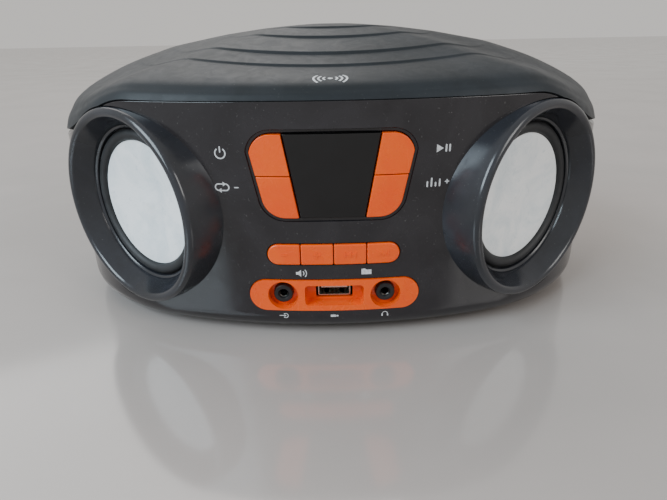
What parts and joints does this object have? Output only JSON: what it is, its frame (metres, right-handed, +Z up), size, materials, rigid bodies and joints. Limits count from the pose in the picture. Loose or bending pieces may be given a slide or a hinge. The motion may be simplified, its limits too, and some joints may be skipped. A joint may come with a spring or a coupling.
{
  "type": "portable audio player",
  "caption": "Oval tabletop portable music player with a domed stepped cover, angled white-coned speakers, orange keys and a front socket plate.",
  "frame": {"origin": "on the ground plane, under the middle of the whole object's box", "axes": "+X along the width to the right as seen from the front, +Y towards the rear, +Z up"},
  "size_m": [0.264, 0.2056, 0.1245],
  "materials": {
    "gloss_black": "polished moulded ABS",
    "satin_black": "fine spark-textured ABS",
    "cover_grey": "satin moulded ABS",
    "orange_keys": "semi-gloss moulded ABS",
    "white_cone": "satin polypropylene film",
    "black_rubber": "soft butyl rubber",
    "foot_rubber": "matte rubber",
    "smoked_window": "smoked acrylic",
    "display_glass": "unlit display glass",
    "dark_plastic": "moulded nylon",
    "circuit_board": "solder-masked fibreglass board",
    "plated_steel": "nickel-plated steel",
    "pressed_steel": "black painted pressed steel",
    "aerial_chrome": "bright chromium plate on brass",
    "copper_wire": "enamelled copper winding",
    "spider_cloth": "resin-stiffened cloth",
    "battery_wrap": "printed film sleeve"
  },
  "bodies": {
    "cabinet": {"front_cabinet": "gloss_black", "rear_cabinet": "satin_black", "top_cover": "cover_grey", "bezel_left": "gloss_black", "bezel_right": "gloss_black", "basket_left": "pressed_steel", "basket_right": "pressed_steel", "magnet_left": "plated_steel", "magnet_right": "plated_steel", "surround_left": "black_rubber", "surround_right": "black_rubber", "spider_left": "spider_cloth", "spider_right": "spider_cloth", "speaker_screws": "plated_steel", "display_window": "smoked_window", "display_frame": "satin_black", "lcd_module": "display_glass", "key_board": "circuit_board", "key_switches": "dark_plastic", "port_plate": "orange_keys", "aux_jack": "dark_plastic", "phones_jack": "dark_plastic", "usb_port": "plated_steel", "main_board": "circuit_board", "board_chips": "dark_plastic", "capacitors": "dark_plastic", "radio_module": "circuit_board", "board_screws": "plated_steel", "battery_box": "satin_black", "cells": "battery_wrap", "battery_contacts": "plated_steel", "dc_inlet": "dark_plastic", "cabinet_screws": "plated_steel", "rubber_feet": "foot_rubber"},
    "key_power": {"key_power": "orange_keys"},
    "key_repeat": {"key_repeat": "orange_keys"},
    "key_play": {"key_play": "orange_keys"},
    "key_equaliser": {"key_equaliser": "orange_keys"},
    "key_volume_down": {"key_volume_down": "orange_keys"},
    "key_volume_up": {"key_volume_up": "orange_keys"},
    "key_folder_back": {"key_folder_back": "orange_keys"},
    "key_folder_next": {"key_folder_next": "orange_keys"},
    "left_cone": {"cone_left": "white_cone", "voice_coil_left": "copper_wire"},
    "right_cone": {"cone_right": "white_cone", "voice_coil_right": "copper_wire"},
    "door": {"battery_door": "satin_black"},
    "aerial_base": {"aerial_knuckle": "aerial_chrome", "aerial_pin": "plated_steel", "aerial_screw": "plated_steel"},
    "aerial_rod": {"aerial_tube": "aerial_chrome"},
    "aerial_second": {"aerial_middle": "aerial_chrome"},
    "aerial_third": {"aerial_inner": "aerial_chrome"},
    "aerial_last": {"aerial_tip": "aerial_chrome"}
  },
  "joints": [
    {"name": "power_press", "type": "slide", "parent": "cabinet", "child": "key_power", "axis": [0, 1, 0], "range_m": [0, 0.0006], "stiffness_N_per_m": 1200, "springref_m": -0.0008},
    {"name": "repeat_press", "type": "slide", "parent": "cabinet", "child": "key_repeat", "axis": [0, 1, 0], "range_m": [0, 0.0006], "stiffness_N_per_m": 1200, "springref_m": -0.0008},
    {"name": "play_press", "type": "slide", "parent": "cabinet", "child": "key_play", "axis": [0, 1, 0], "range_m": [0, 0.0006], "stiffness_N_per_m": 1200, "springref_m": -0.0008},
    {"name": "equaliser_press", "type": "slide", "parent": "cabinet", "child": "key_equaliser", "axis": [0, 1, 0], "range_m": [0, 0.0006], "stiffness_N_per_m": 1200, "springref_m": -0.0008},
    {"name": "volume_down_press", "type": "slide", "parent": "cabinet", "child": "key_volume_down", "axis": [0, 1, 0], "range_m": [0, 0.0006], "stiffness_N_per_m": 1200, "springref_m": -0.0008},
    {"name": "volume_up_press", "type": "slide", "parent": "cabinet", "child": "key_volume_up", "axis": [0, 1, 0], "range_m": [0, 0.0006], "stiffness_N_per_m": 1200, "springref_m": -0.0008},
    {"name": "folder_back_press", "type": "slide", "parent": "cabinet", "child": "key_folder_back", "axis": [0, 1, 0], "range_m": [0, 0.0006], "stiffness_N_per_m": 1200, "springref_m": -0.0008},
    {"name": "folder_next_press", "type": "slide", "parent": "cabinet", "child": "key_folder_next", "axis": [0, 1, 0], "range_m": [0, 0.0006], "stiffness_N_per_m": 1200, "springref_m": -0.0008},
    {"name": "left_cone_travel", "type": "slide", "parent": "cabinet", "child": "left_cone", "axis": [-0.592, -0.8059, 0], "range_m": [-0.0015, 0.0015], "stiffness_N_per_m": 900, "deforming": ["surround_left", "spider_left"]},
    {"name": "right_cone_travel", "type": "slide", "parent": "cabinet", "child": "right_cone", "axis": [0.592, -0.8059, 0], "range_m": [-0.0015, 0.0015], "stiffness_N_per_m": 900, "deforming": ["surround_right", "spider_right"]},
    {"name": "battery_door_pull", "type": "slide", "parent": "cabinet", "child": "door", "axis": [0, 1, 0], "range_m": [0, 0.04]},
    {"name": "aerial_swivel", "type": "hinge", "parent": "cabinet", "child": "aerial_base", "pos_m": [-0.076, 0.09958, 0.085], "axis": [0, -1, 0], "range_deg": [0, 180]},
    {"name": "aerial_fold", "type": "hinge", "parent": "aerial_base", "child": "aerial_rod", "pos_m": [-0.076, 0.09958, 0.085], "axis": [0, 0, 1], "range_deg": [0, 90]},
    {"name": "aerial_second_pull", "type": "slide", "parent": "aerial_rod", "child": "aerial_second", "axis": [1, 0, 0], "range_m": [0, 0.095]},
    {"name": "aerial_third_pull", "type": "slide", "parent": "aerial_second", "child": "aerial_third", "axis": [1, 0, 0], "range_m": [0, 0.095]},
    {"name": "aerial_tip_pull", "type": "slide", "parent": "aerial_third", "child": "aerial_last", "axis": [1, 0, 0], "range_m": [0, 0.095]}
  ]
}
